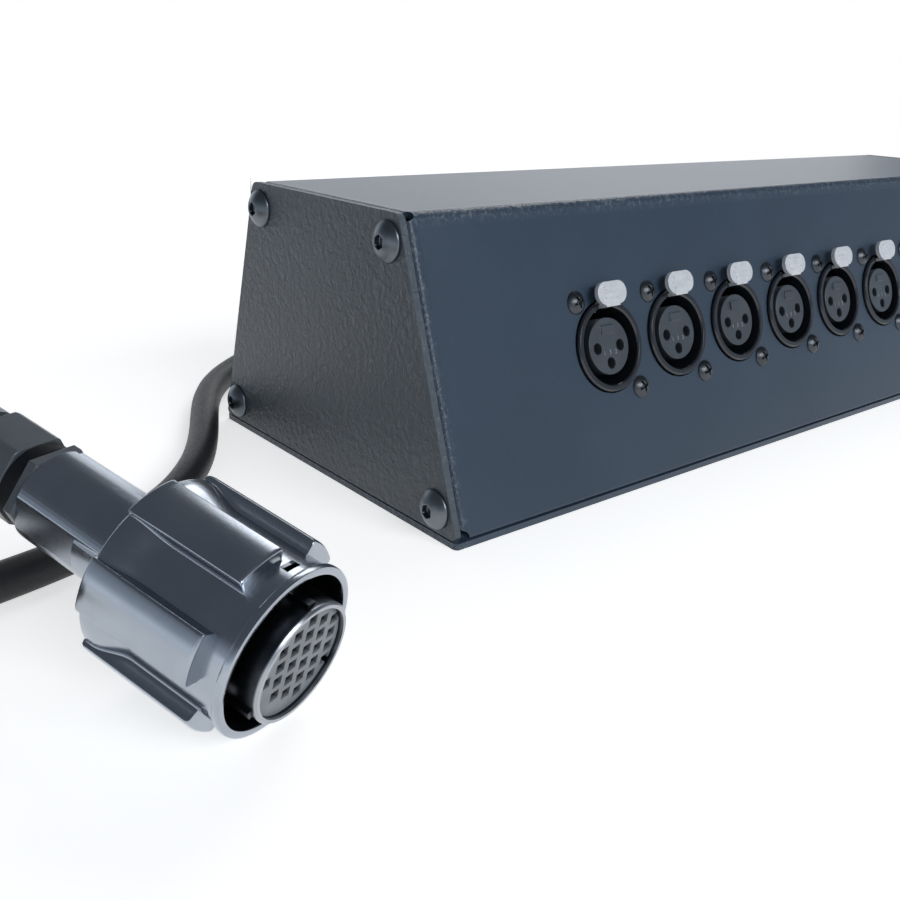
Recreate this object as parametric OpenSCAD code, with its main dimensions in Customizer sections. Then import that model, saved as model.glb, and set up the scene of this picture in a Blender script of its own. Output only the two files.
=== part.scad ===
// Stage box snake: a wedge-shaped steel box with eight chassis connectors,
// a multicore tail and a bayonet multipin plug.
// Millimetres, +Z up, the sloping connector panel faces -Y.
// The origin is under the middle of the box's base.

/* [Box] */
// Outside length of the box over its end plates
box_l = 306; // [295:1:360]
// Height of the box
box_h = 70.8; // [66:0.2:90]
// Depth of the base
base_d = 106.8; // [100:0.2:140]
// Lean of the connector panel from upright, degrees
front_lean = 19; // [10:1:24]
// Lean of the rear panel from upright, degrees
rear_lean = 16; // [8:1:20]
// Steel sheet thickness of the shell
sheet_t = 1.6; // [1.2:0.1:2]
// Thickness of the base plate
base_t = 1.6; // [1.2:0.1:2.5]
// Thickness of the end plates
end_t = 1.8; // [1.5:0.1:3]
// Corner radius of the end plates
end_r = 2.5; // [1:0.5:5]
// Corner radius of the end plates at the base
end_r_low = 1.2; // [0.6:0.2:3]
// Corner radius of the base plate
base_r = 1.2; // [0.6:0.2:3]

/* [Panel connectors] */
// Number of connectors
xlr_count = 8; // [8:1:8]
// Spacing of the connectors
xlr_pitch = 27; // [26.5:0.1:32]
// Height of the connector centres, measured up the slope from the base plate
xlr_up = 36.4; // [30:0.1:45]
// Diameter of the panel hole
panel_hole_d = 24; // [24:0.1:25]
// Diameter of the nose ring
nose_d = 23.2; // [23:0.1:23.9]
// Diameter of the annular opening for the mating plug
socket_d = 19.6; // [19:0.1:20]
// Diameter of the contact insert
insert_d = 14.5; // [14:0.1:15]
// Depth of the socket behind the panel face
socket_deep = 16; // [14:0.5:18]
// How far the nose ring stands proud of the panel
nose_proud = 1; // [0.5:0.1:2]

/* [Latch tab] */
// Width of the pressed tab
tab_w = 10.4; // [8:0.1:12]
// Height of the tab along the slope
tab_h = 5.8; // [5:0.1:7]
// Width of the lever's neck
neck_w = 5; // [4:0.1:5]

/* [Tail] */
// Diameter of the multicore cable
cord_d = 8; // [7.6:0.1:8.2]
// Height of the rear gland up the slope of the rear panel
gland_up = 26; // [22:1:34]

/* [Multipin plug] */
// Outer radius of the bayonet ring over its lobes
lobe_r = 17.06; // [16:0.01:18]
// Outer radius of the ring between its lobes
ring_r = 14.4; // [14:0.1:14.8]
// Outer radius of the lip
lip_r = 15.1; // [14.8:0.1:15.8]
// Inner radius of the mouth
mouth_r = 13.6; // [13.2:0.1:13.8]
// Outer radius of the barrel that carries the insert
barrel_r = 10.6; // [10.2:0.1:11]
// Outer radius of the backshell
shell_r = 8.7; // [8.2:0.1:9]
// Number of lobes round the ring
lobe_count = 6; // [6:1:6]
// Angle that one lobe spans, degrees
lobe_span = 32; // [24:1:36]

/* [Hidden] */
$fn = 64;
eps = 0.01;
half_l = box_l / 2;
half_d = base_d / 2;
shell_l = box_l - 2 * end_t;
// Box profile in the upright plane: rear half is +Y
front_top_y = face_front(box_h, 0);
rear_top_y = face_rear(box_h, 0);
first_x = -xlr_pitch * (xlr_count - 1) / 2;

// End flanges and bottom flanges of the shell
flange_w = 12;
plate_gap = 0.3;
relief_r = 1.8;
relief_in = 1;
relief_deep = 3;
// Screws of the end plates, M5 button heads
end_screw_r = 2.5;
end_hole_r = 2.7;
end_head_r = 4.75;
end_head_h = 2.75;
end_dome_r = 6.2;
end_hex = 3;
end_hex_deep = 1.7;
end_screw_len = 9;
end_up_low = 5.8;
end_up_high = 6.5;
end_in_front = 5.9;
end_in_rear = 5.6;
nut_r = 3.6;
nut_len = 5.5;
nut_collar_r = 3.7;
nut_collar_t = 1;
// Screws of the base, M3 countersunk
base_screw_r = 1.5;
base_hole_r = 1.7;
base_head_r = 3;
base_screw_len = 6;
base_nut_r = 2.5;
base_nut_len = 4;
base_nut_collar_r = 3.2;
base_nut_collar_t = 1;
base_screw_in = 7;
base_screw_from_end = 33;
base_hex = 2;
base_hex_deep = 1;

// Connector details, local frame: Z out of the panel, Y up the slope
cx_list = [for (i = [0 : xlr_count - 1]) first_x + i * xlr_pitch];
sx = 9.5;
sy = 12;
nose_bevel = 0.4;
mouth_bevel = 0.4;
insert_play = 0.05;
flange_x = 26;
flange_y = 30.6;
flange_t = 2;
cup_r = 11.75;
back_t = 3;
panel_screw_r = 1.5;
panel_hole_r = 1.65;
pan_r = 2.9;
pan_h = 1.6;
pan_dome_r = 3.8;
cross_len = 3.2;
cross_w = 0.6;
cross_deep = 1;
cross_turn = 20;
panel_nut_af = 5.5;
panel_nut_t = 2.4;
screw_len = 8;
contact_pts = [[-4.15, -0.2], [4.15, -0.2], [0, -4.3]];
contact_hole_r = 1.45;
contact_r = 1.4;
contact_bore_r = 1.1;
tail_hole_r = 1;
tail_r = 0.9;
contact_len = 9;
tail_end = 25;
insert_flange_r = 9;
insert_flange_t = 2;
bar_w = 4.4;
bar_h = 2.2;
bar_at = 3.1;
bar_up = 0.49;
contact_back = 2.5;
bore_left = 1.5;
// Lever of the latch
strip_in = 9.7;
strip_out = 10.6;
pivot_y = 10.15;
pivot_z = -8.5;
pivot_r = 0.6;
pivot_hole_r = 0.65;
pivot_len = 8;
lever_back = -11;
lever_slot = 0.25;
lever_slot_in = 9;
lever_slot_out = 13;
pivot_end_gap = 0.1;
hook_in = 8.9;
hook_w = 3;
hook_low = -5.8;
hook_t = 1.6;
neck_top = 12.1;
neck_step = 0.2;
strip_step = 0.6;
tab_low = 2.6;
tab_t = 1.2;
tab_y = 13.05;

// Wiring inside the box
wire_r = 0.65;
trunk_r = 4.6;
trunk_z = -38;
trunk_v = -2;
wire_from = 25;
trunk_over = 6;
trunk_bend = 13;
lead_r = 3.4;
bend_r = 3.8;

// Rear gland, local frame: Z out of the rear panel
gland_hole_r = 8.1;
gland_thread_r = 8;
gland_flange_t = 5;
gland_neck = 7;
gland_in = 12;
locknut_af = 22;
locknut_t = 4;
gland_nut_af = 21;
gland_nut_len = 11;
gland_dome_len = 6;
gland_dome_r = 8.6;
gland_dome_wall = 1.6;
gland_seal_t = 2;
jacket_over = 4;
gland_end = gland_flange_t + gland_nut_len + gland_dome_len;
jacket_in = gland_in + jacket_over;
cord_r = cord_d / 2;
cord_play = 0.3;
cord_hole_r = cord_r + cord_play;

// Multipin plug pose: lip centre, nose down tilt and turn
plug_at = [-215.9, -87.5, 15.36];
plug_tilt = 104.5;
plug_turn = 19.64;
// Stations along the plug's axis, zero at the lip
lip_back = -1.5;
lobe_first = 104.25;
lobe_chamfer = 0.7;
lobe_root = 0.6;
rear_band_in = 0.9;
rear_band_t = 2.4;
ring_play = 0.06;
ring_front = -5;
ring_back = -28;
web_t = 4;
slot_turns = [206, 326, 86];
slot_w = 3.2;
slot_back = -4.4;
slot_t = 1.6;
rim_front = 3.2;
rim_bevel = 0.4;
rim_bevel_in = 0.3;
key_turns = [90, 205, 335];
key_w = 1.6;
key_up = 0.7;
key_root = 0.3;
key_back_off = 1;
wall_behind = 1.7;
barrel_back = -21.5;
shoulder_t = 2.5;
seat_r = 9.7;
insert_r = 9.65;
insert_front = 2.2;
collar_r = 13.3;
collar_t = 2.2;
shell_back = -52.6;
shell_bore_r = 6.6;
neck_half = 8.25;
flats_len = 14;
bore_from = 4;
clip_front = -28.3;
clip_t = 1;
clip_r = 9.8;
clip_seat_r = 8.1;
flange_back = -54.6;
hexnut_back = -69;
seal_back = -58;
thread_r = 6.6;
thread_back = -72;
hexnut_af = 15.5;
hexnut_round = 0.35;
domenut_front = -71;
domenut_back = -86;
domenut_r = 7.5;
domenut_taper = 4;
domenut_wall = 1.4;
flange_af = 16;
seal_r = 7.9;
contact_pitch_x = 3.05;
contact_pitch_y = 2.85;
column_counts = [1, 4, 5, 6, 5, 4];
pin_hole = 1.9;
pin_back_in = 0.3;
pin_front = -1.5;
insert_back = barrel_back + shoulder_t - collar_t;

// Cable: middle of the cable where it lies on the floor
mid_z = cord_r + 0.05;
tube_sides = 10;
tube_steps = 2;
// Points of the box run after its straight start, chosen by hand
box_points = [
  [-4, 101, 39.5],
  [-16, 115.5, 38.5],
  [-35, 121.5, 33],
  [-56, 119.5, 25],
  [-75, 113, 16.5],
  [-94, 105, 9.5],
  [-112, 97.5, 5.5],
  [-130, 88.5, mid_z],
  [-145.5, 76, mid_z],
  [-157, 60, mid_z],
  [-166, 42, mid_z],
  [-175.5, 24, mid_z],
  [-187.5, 7.5, mid_z],
  [-202.5, -6, mid_z],
  [-221, -14.5, mid_z],
  [-242, -19, mid_z],
  [-265, -22.5, mid_z],
  [-292, -26, mid_z + 0.3]
];
// Points of the plug run after its straight start, chosen by hand
plug_points = [
  [-254, 19.5, 43.5],
  [-258.5, 32, 42],
  [-262.5, 44, 36.5],
  [-267, 56, 28.5],
  [-272.5, 66.5, 21],
  [-279, 76, 15.5]
];
// Coil: middle, outer radius, spacing of turns and of layers
coil_at = [-328.7, 35];
coil_r = 65;
coil_pitch = cord_d + 0.5;
coil_rise = cord_d + 0.6;
coil_start = 50;
coil_turns = 7.631;
coil_lead = 0.084;
coil_rings = 24;
coil_sides = 6;
coil_dive = 0.5;
tie_t = 0.8;
tie_w = 12;
tie_turn = 140;
tie_gap = 0.1;
tie_side_gap = 0.5;
tie_turns_spanned = 4;
flap_from = 8;
flap_len = 22;
flap_in = 0.5;

// Box

module box_profile() {
  polygon([
    [-half_d, base_t],
    [half_d, base_t],
    [rear_top_y, box_h],
    [front_top_y, box_h]
  ]);
}

// Corner radius of a hexagon with a given width across its flats
function hex_r(across) = across / 2 / cos(30);

// Y of the front and rear faces at a height, inset by a thickness
function face_front(z, t) = -half_d + (z - base_t) * tan(front_lean) + t / cos(front_lean);
function face_rear(z, t) = half_d - (z - base_t) * tan(rear_lean) - t / cos(rear_lean);

// Draws a shape given in Y and Z along the length, centred on X
module along_x(len) {
  rotate([90, 0, 90])
    translate([0, 0, -len / 2])
      linear_extrude(height = len)
        children();
}

// Trapezoid inset from the outer profile by a sheet, open below
module inner_profile(t) {
  low = base_t - 1;
  high = box_h - t;
  polygon([
    [face_front(low, t), low],
    [face_rear(low, t), low],
    [face_rear(high, t), high],
    [face_front(high, t), high]
  ]);
}

// Front panel frame: X along the box, Y up the slope, Z outwards
module on_front() {
  translate([0, -half_d, base_t])
    rotate([90 - front_lean, 0, 0])
      children();
}

// Rear panel frame: Z outwards, Y down the slope
module on_rear() {
  translate([0, half_d, base_t])
    rotate([rear_lean - 90, 0, 0])
      children();
}

module each_xlr() {
  on_front()
    for (cx = cx_list)
      translate([cx, xlr_up, 0])
        children();
}

// Places of the four end screws in Y and Z
end_places = [
  [-half_d + end_in_front + end_up_low * tan(front_lean), base_t + end_up_low],
  [half_d - end_in_rear - end_up_low * tan(rear_lean), base_t + end_up_low],
  [front_top_y + end_in_front - end_up_high * tan(front_lean), box_h - end_up_high],
  [rear_top_y - end_in_rear + end_up_high * tan(rear_lean), box_h - end_up_high]
];

module end_axes(side) {
  for (p = end_places)
    translate([side * half_l, p[0], p[1]])
      rotate([0, side * 90, 0])
        children();
}

module body_shell() {
  color([0.29, 0.33, 0.39])
    difference() {
      union() {
        // Folded wrapper
        difference() {
          along_x(shell_l) box_profile();
          along_x(shell_l + 2) inner_profile(sheet_t);
        }
        // Inward flanges at the ends
        for (side = [-1, 1])
          translate([side * (shell_l - sheet_t) / 2, 0, 0])
            difference() {
              along_x(sheet_t) box_profile();
              along_x(sheet_t + 2) inner_profile(flange_w);
            }
        // Bottom flanges along the front and rear
        for (side = [-1, 1])
          translate([-shell_l / 2, side > 0 ? half_d - sheet_t - flange_w : -half_d + sheet_t / 2, base_t])
            cube([shell_l, flange_w + sheet_t / 2, sheet_t]);
      }
      // Connector holes
      each_xlr() {
        translate([0, 0, -sheet_t - 1])
          cylinder(r = panel_hole_d / 2, h = sheet_t + 2);
        for (s = [-1, 1])
          translate([s * sx, -s * sy, -sheet_t - 1])
            cylinder(r = panel_hole_r, h = sheet_t + 2, $fn = 32);
      }
      // Gland hole
      on_rear()
        translate([0, -gland_up, -sheet_t - 1])
          cylinder(r = gland_hole_r, h = sheet_t + 2);
      // Rivet nut holes
      for (side = [-1, 1])
        end_axes(side)
          translate([0, 0, -2 * sheet_t - end_t])
            cylinder(r = nut_r, h = 2 * sheet_t + end_t, $fn = 32);
      base_axes()
        translate([0, 0, base_t - 1])
          cylinder(r = base_nut_r, h = sheet_t + 2, $fn = 32);
      // Bend relief holes where the folds meet the end flanges
      for (side = [-1, 1])
        for (p = [
          [front_top_y, box_h, 45 - front_lean / 2],
          [rear_top_y, box_h, rear_lean / 2 - 45],
          [-half_d, base_t, 135 - front_lean / 2],
          [half_d, base_t, rear_lean / 2 - 135]
        ])
          translate([side * (shell_l / 2 - relief_in), p[0], p[1]])
            rotate([p[2], 0, 0])
              rotate([0, 0, 40])
                cylinder(r = relief_r, h = 2 * relief_deep, center = true, $fn = 32);
    }
}

module base_axes() {
  for (x = [-1, -1 / 3, 1 / 3, 1])
    for (s = [-1, 1])
      translate([x * (half_l - base_screw_from_end), s * (half_d - base_screw_in), 0])
        children();
}

// Draws a plate from circles at its corners
module rounded(corners) {
  hull()
    for (c = corners)
      translate([c[0], c[1]])
        circle(r = c[2], $fn = 32);
}

module base_plate() {
  color([0.25, 0.28, 0.33])
    difference() {
      linear_extrude(height = base_t)
        rounded([
          for (sx = [-1, 1])
            for (sy = [-1, 1])
              [sx * (half_l - base_r), sy * (half_d - base_r), base_r]
        ]);
      base_axes() {
        translate([0, 0, -1])
          cylinder(r = base_hole_r, h = base_t + 2, $fn = 32);
        translate([0, 0, -eps])
          cylinder(r1 = base_head_r + eps, r2 = base_hole_r, h = base_head_r - base_hole_r + eps, $fn = 32);
      }
    }
}

module plate_outline() {
  // Trapezoid with rounded corners, clear of the base plate
  low = base_t + plate_gap;
  high = box_h - end_r;
  lift = low + end_r_low;
  rounded([
    [face_front(lift, end_r_low), lift, end_r_low],
    [face_rear(lift, end_r_low), lift, end_r_low],
    [face_front(high, end_r), high, end_r],
    [face_rear(high, end_r), high, end_r]
  ]);
}

module end_plate(side) {
  color([0.42, 0.44, 0.46])
    difference() {
      translate([side * (half_l - end_t / 2), 0, 0])
        along_x(end_t) plate_outline();
      end_axes(side)
        translate([0, 0, -end_t - 1])
          cylinder(r = end_hole_r, h = end_t + 2, $fn = 32);
    }
}

module end_plate_left() {
  end_plate(-1);
}

module end_plate_right() {
  end_plate(1);
}

module button_screw() {
  difference() {
    union() {
      translate([0, 0, -end_screw_len])
        cylinder(r = end_screw_r, h = end_screw_len + eps, $fn = 32);
      intersection() {
        cylinder(r = end_head_r, h = end_head_h, $fn = 48);
        translate([0, 0, end_head_h - end_dome_r])
          sphere(r = end_dome_r, $fn = 64);
      }
    }
    translate([0, 0, end_head_h - end_hex_deep])
      cylinder(r = hex_r(end_hex), h = 2 * end_hex_deep, $fn = 6);
  }
}

module end_screws(side) {
  color([0.35, 0.36, 0.38])
    end_axes(side)
      button_screw();
}

module end_screws_left() {
  end_screws(-1);
}

module end_screws_right() {
  end_screws(1);
}

module end_nuts(side) {
  color([0.7, 0.68, 0.6])
    end_axes(side)
      translate([0, 0, -end_t - sheet_t - nut_len])
        difference() {
          union() {
            cylinder(r = nut_r, h = nut_len + sheet_t, $fn = 32);
            translate([0, 0, nut_len - nut_collar_t])
              cylinder(r = nut_collar_r, h = nut_collar_t, $fn = 32);
          }
          translate([0, 0, -1])
            cylinder(r = end_screw_r, h = nut_len + sheet_t + 2, $fn = 32);
        }
}

module end_nuts_left() {
  end_nuts(-1);
}

module end_nuts_right() {
  end_nuts(1);
}

module base_screws() {
  color([0.35, 0.36, 0.38])
    base_axes()
      difference() {
        union() {
          cylinder(r = base_screw_r, h = base_screw_len, $fn = 32);
          cylinder(r1 = base_head_r, r2 = base_screw_r, h = base_head_r - base_screw_r, $fn = 32);
        }
        translate([0, 0, -base_hex_deep])
          cylinder(r = hex_r(base_hex), h = 2 * base_hex_deep, $fn = 6);
      }
}

module base_nuts() {
  color([0.7, 0.68, 0.6])
    base_axes()
      translate([0, 0, base_t])
        difference() {
          union() {
            cylinder(r = base_nut_r, h = base_nut_len + sheet_t, $fn = 32);
            translate([0, 0, sheet_t])
              cylinder(r = base_nut_collar_r, h = base_nut_collar_t, $fn = 32);
          }
          translate([0, 0, -1])
            cylinder(r = base_screw_r, h = base_nut_len + sheet_t + 2, $fn = 32);
        }
}

// Panel connectors

module at_xlr(n) {
  on_front()
    translate([cx_list[n - 1], xlr_up, 0])
      children();
}

module xlr_housing(n) {
  color([0.2, 0.22, 0.25])
    at_xlr(n)
      difference() {
        union() {
          translate([-flange_x / 2, -flange_y / 2, -sheet_t - flange_t])
            cube([flange_x, flange_y, flange_t]);
          // Nose ring with a bevelled edge
          translate([0, 0, -sheet_t - flange_t])
            cylinder(r = nose_d / 2, h = sheet_t + flange_t + nose_proud - nose_bevel);
          translate([0, 0, nose_proud - nose_bevel])
            cylinder(r1 = nose_d / 2, r2 = nose_d / 2 - nose_bevel, h = nose_bevel);
          translate([0, 0, -socket_deep - back_t])
            cylinder(r = cup_r, h = socket_deep + back_t - sheet_t);
        }
        translate([0, 0, -socket_deep])
          cylinder(r = socket_d / 2, h = socket_deep + 3);
        // Bevel round the socket's mouth
        translate([0, 0, nose_proud - mouth_bevel])
          cylinder(r1 = socket_d / 2 - eps, r2 = socket_d / 2 + 2 * mouth_bevel, h = 2 * mouth_bevel);
        translate([0, 0, -socket_deep - back_t - 1])
          cylinder(r = insert_d / 2 + insert_play, h = back_t + 2);
        // Slot of the release lever, open at the front and on top
        translate([-neck_w / 2 - lever_slot, lever_slot_in, lever_back - lever_slot])
          cube([
            neck_w + 2 * lever_slot,
            lever_slot_out - lever_slot_in,
            nose_proud + 1 - lever_back + lever_slot
          ]);
        // Pivot holes
        translate([-pivot_len / 2 - pivot_end_gap, pivot_y, pivot_z])
          rotate([0, 90, 0])
            cylinder(r = pivot_hole_r, h = pivot_len + 2 * pivot_end_gap, $fn = 24);
        // Screw holes
        for (s = [-1, 1])
          translate([s * sx, -s * sy, -sheet_t - flange_t - 1])
            cylinder(r = panel_hole_r, h = flange_t + 2, $fn = 32);
      }
}

module xlr_insert(n) {
  color([0.12, 0.12, 0.13])
    at_xlr(n)
      difference() {
        union() {
          translate([0, 0, -socket_deep - back_t])
            cylinder(r = insert_d / 2, h = socket_deep + back_t);
          translate([0, 0, -socket_deep - back_t - insert_flange_t])
            cylinder(r = insert_flange_r, h = insert_flange_t);
          // Raised bar near the top of the face
          translate([-bar_w / 2, bar_at, -eps])
            cube([bar_w, bar_h, bar_up + eps]);
        }
        for (p = contact_pts) {
          translate([p[0], p[1], -contact_len - contact_back])
            cylinder(r = contact_hole_r, h = contact_len + contact_back + 1, $fn = 32);
          translate([p[0], p[1], -socket_deep - back_t - insert_flange_t - 1])
            cylinder(r = tail_hole_r, h = socket_deep + back_t, $fn = 24);
        }
      }
}

module xlr_latch(n) {
  color([0.82, 0.83, 0.84])
    at_xlr(n)
      union() {
        // Lever strip through the ring
        translate([-neck_w / 2, strip_in, lever_back])
          cube([neck_w, strip_out - strip_in, tab_low + tab_t - lever_back - strip_step]);
        // Hook that catches the mating plug
        translate([-hook_w / 2, hook_in, hook_low])
          cube([hook_w, strip_in - hook_in + eps, hook_t]);
        // Trunnions
        translate([-pivot_len / 2, pivot_y, pivot_z])
          rotate([0, 90, 0])
            cylinder(r = pivot_r, h = pivot_len, $fn = 24);
        // Rounded tab
        translate([0, tab_y, tab_low])
          linear_extrude(height = tab_t) {
            square([tab_w - tab_h, tab_h], center = true);
            for (s = [-1, 1])
              translate([s * (tab_w - tab_h) / 2, 0])
                circle(r = tab_h / 2, $fn = 48);
          }
        // Neck under the tab
        translate([-neck_w / 2, strip_in, tab_low])
          cube([neck_w, neck_top - strip_in, tab_t - neck_step]);
      }
}

module xlr_contacts() {
  color([0.8, 0.66, 0.3])
    each_xlr()
      for (p = contact_pts)
        translate([p[0], p[1], 0])
          difference() {
            union() {
              translate([0, 0, -contact_len - contact_back])
                cylinder(r = contact_r, h = contact_len, $fn = 32);
              translate([0, 0, -tail_end])
                cylinder(r = tail_r, h = tail_end - contact_len - contact_back + eps, $fn = 24);
            }
            translate([0, 0, -contact_len - contact_back + bore_left])
              cylinder(r = contact_bore_r, h = contact_len, $fn = 32);
          }
}

module xlr_screws() {
  color([0.3, 0.31, 0.33])
    each_xlr()
      for (s = [-1, 1])
        translate([s * sx, -s * sy, 0])
          difference() {
            union() {
              translate([0, 0, -screw_len])
                cylinder(r = panel_screw_r, h = screw_len + eps, $fn = 32);
              intersection() {
                cylinder(r = pan_r, h = pan_h, $fn = 48);
                translate([0, 0, pan_h - pan_dome_r])
                  sphere(r = pan_dome_r, $fn = 48);
              }
            }
            for (a = [0, 90])
              rotate([0, 0, a + cross_turn])
                translate([-cross_len / 2, -cross_w / 2, pan_h - cross_deep])
                  cube([cross_len, cross_w, 2 * cross_deep]);
          }
}

module xlr_screw_nuts() {
  color([0.7, 0.68, 0.6])
    each_xlr()
      for (s = [-1, 1])
        translate([s * sx, -s * sy, -sheet_t - flange_t - panel_nut_t])
          difference() {
            cylinder(r = hex_r(panel_nut_af), h = panel_nut_t, $fn = 6);
            translate([0, 0, -1])
              cylinder(r = panel_screw_r, h = panel_nut_t + 2, $fn = 32);
          }
}

// Wiring inside the box

function front_point(v, z) = [
  0,
  -half_d + v * sin(front_lean) - z * cos(front_lean),
  base_t + v * cos(front_lean) + z * sin(front_lean)
];

function rear_point(v, z) = [
  0,
  half_d - v * sin(rear_lean) + z * cos(rear_lean),
  base_t + v * cos(rear_lean) + z * sin(rear_lean)
];

trunk_mid = front_point(xlr_up + trunk_v, trunk_z);
jacket_end = rear_point(gland_up, -jacket_in);
loom_bend = rear_point(gland_up, -jacket_in - trunk_bend);

module rod(a, b, r) {
  d = b - a;
  l = norm(d);
  translate(a)
    rotate([0, acos(d[2] / l), atan2(d[1], d[0])])
      cylinder(r = r, h = l, $fn = 32);
}

module wiring_loom() {
  color([0.15, 0.15, 0.16])
    union() {
      each_xlr()
        for (p = contact_pts)
          translate([p[0], p[1], trunk_z])
            cylinder(r = wire_r, h = -trunk_z - wire_from, $fn = 16);
      translate([cx_list[0] - trunk_over, trunk_mid[1], trunk_mid[2]])
        rotate([0, 90, 0])
          cylinder(r = trunk_r, h = cx_list[xlr_count - 1] - cx_list[0] + 2 * trunk_over, $fn = 32);
      rod(trunk_mid, loom_bend, lead_r);
      translate(loom_bend)
        sphere(r = bend_r, $fn = 32);
      rod(loom_bend, jacket_end, lead_r);
    }
}

// Rear gland

module at_gland() {
  on_rear()
    translate([0, -gland_up, 0])
      children();
}

module gland_body() {
  color([0.1, 0.1, 0.11])
    at_gland()
      difference() {
        union() {
          translate([0, 0, -gland_in])
            cylinder(r = gland_thread_r, h = gland_in + gland_flange_t);
          cylinder(r = hex_r(locknut_af), h = gland_flange_t, $fn = 6);
          cylinder(r = gland_thread_r, h = gland_flange_t + gland_neck);
        }
        translate([0, 0, -gland_in - 1])
          cylinder(r = cord_hole_r, h = gland_in + gland_flange_t + gland_neck + 2);
        translate([0, 0, gland_flange_t])
          cylinder(r = cord_r + gland_seal_t, h = gland_neck + 1);
      }
}

module gland_locknut() {
  color([0.1, 0.1, 0.11])
    at_gland()
      translate([0, 0, -sheet_t - locknut_t])
        difference() {
          cylinder(r = hex_r(locknut_af), h = locknut_t, $fn = 6);
          translate([0, 0, -1])
            cylinder(r = gland_thread_r, h = locknut_t + 2);
        }
}

module gland_seal() {
  color([0.16, 0.16, 0.17])
    at_gland()
      translate([0, 0, gland_flange_t])
        difference() {
          cylinder(r = cord_r + gland_seal_t, h = gland_neck);
          translate([0, 0, -1])
            cylinder(r = cord_r, h = gland_neck + 2);
        }
}

module gland_nut() {
  color([0.1, 0.1, 0.11])
    at_gland()
      translate([0, 0, gland_flange_t])
        difference() {
          union() {
            cylinder(r = hex_r(gland_nut_af), h = gland_nut_len, $fn = 6);
            translate([0, 0, gland_nut_len - eps])
              cylinder(r1 = gland_dome_r, r2 = cord_r + gland_dome_wall, h = gland_dome_len);
          }
          translate([0, 0, -1])
            cylinder(r = gland_thread_r, h = gland_neck + 1);
          translate([0, 0, gland_neck - eps])
            cylinder(r = cord_hole_r, h = gland_nut_len + gland_dome_len);
        }
}

// Multipin plug

module at_plug() {
  translate(plug_at)
    rotate([plug_tilt, 0, plug_turn])
      children();
}

module ring_part(r, from, to) {
  translate([0, 0, from])
    cylinder(r = r, h = to - from);
}

module lobe_wedge(a, from, to, r) {
  // One lobe: a sector of the ring's outer band
  rotate([0, 0, a])
    translate([0, 0, from])
      linear_extrude(height = to - from)
        intersection() {
          difference() {
            circle(r = r, $fn = 96);
            circle(r = ring_r - lobe_root, $fn = 96);
          }
          polygon([
            [0, 0],
            2 * lobe_r * [cos(lobe_span / 2), -sin(lobe_span / 2)],
            [2 * lobe_r, 0],
            2 * lobe_r * [cos(lobe_span / 2), sin(lobe_span / 2)]
          ]);
        }
}

module plug_coupling_ring() {
  color([0.24, 0.25, 0.27])
    at_plug()
      difference() {
        union() {
          ring_part(ring_r, ring_back, lip_back + eps);
          ring_part(lip_r, lip_back, 0);
          ring_part(lobe_r - rear_band_in, ring_back, ring_back + rear_band_t);
          for (k = [0 : lobe_count - 1]) {
            lobe_wedge(lobe_first + k * 360 / lobe_count, ring_back, ring_front - lobe_chamfer, lobe_r);
            lobe_wedge(lobe_first + k * 360 / lobe_count, ring_front - lobe_chamfer - eps, ring_front,
              lobe_r - lobe_chamfer / 2);
          }
        }
        ring_part(mouth_r, ring_back + web_t, 1);
        ring_part(shell_r + ring_play, ring_back - 1, ring_back + web_t + 1);
        // Small see-through slots of the bayonet
        for (a = slot_turns)
          rotate([0, 0, a])
            translate([mouth_r - 1, -slot_w / 2, slot_back])
              cube([lip_r - mouth_r + 2, slot_w, slot_t]);
      }
}

module plug_barrel() {
  color([0.3, 0.31, 0.33])
    at_plug()
      difference() {
        union() {
          ring_part(barrel_r, barrel_back - collar_t, rim_front - rim_bevel);
          translate([0, 0, rim_front - rim_bevel])
            cylinder(r1 = barrel_r, r2 = barrel_r - rim_bevel_in, h = rim_bevel);
          ring_part(collar_r, barrel_back - collar_t, barrel_back);
          // Keys along the barrel
          for (a = key_turns)
            rotate([0, 0, a])
              translate([barrel_r - key_root, -key_w / 2, barrel_back])
                cube([key_up + key_root, key_w, rim_front - key_back_off - barrel_back]);
        }
        ring_part(seat_r, insert_back, rim_front + 1);
        ring_part(seat_r - wall_behind, barrel_back - collar_t - 1, rim_front);
      }
}

function column_x(i) = (i - (len(column_counts) - 1) / 2) * contact_pitch_x;

function column_y(n, j) = (j - (n - 1) / 2) * contact_pitch_y;

module each_pin() {
  for (i = [0 : len(column_counts) - 1])
    for (j = [0 : column_counts[i] - 1])
      translate([column_x(i), column_y(column_counts[i], j), 0])
        children();
}

module plug_insert() {
  color([0.42, 0.43, 0.45])
    at_plug()
      difference() {
        ring_part(insert_r, insert_back, insert_front);
        each_pin()
          translate([-pin_hole / 2, -pin_hole / 2, insert_back - 1])
            cube([pin_hole, pin_hole, insert_front + 2 - insert_back]);
      }
}

module plug_contacts() {
  color([0.8, 0.66, 0.3])
    at_plug()
      each_pin()
        translate([0, 0, insert_back + pin_back_in])
          cylinder(r = pin_hole / 2, h = pin_front - insert_back - pin_back_in, $fn = 24);
}

module plug_backshell() {
  color([0.26, 0.27, 0.29])
    at_plug()
      difference() {
        union() {
          ring_part(shell_r, shell_back, barrel_back - collar_t);
          ring_part(thread_r, thread_back, shell_back + eps);
        }
        // Flats across the neck
        for (s = [-1, 1])
          translate([s * (neck_half + shell_r / 2), 0, shell_back + flats_len / 2 - eps])
            cube([shell_r, 2 * shell_r, flats_len], center = true);
        // Groove of the retaining ring
        difference() {
          ring_part(clip_r, clip_front - clip_t, clip_front);
          ring_part(clip_seat_r, clip_front - clip_t - 1, clip_front + 1);
        }
        ring_part(shell_bore_r, shell_back + bore_from, rim_front);
        ring_part(cord_hole_r, thread_back - 1, rim_front);
      }
}

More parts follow.
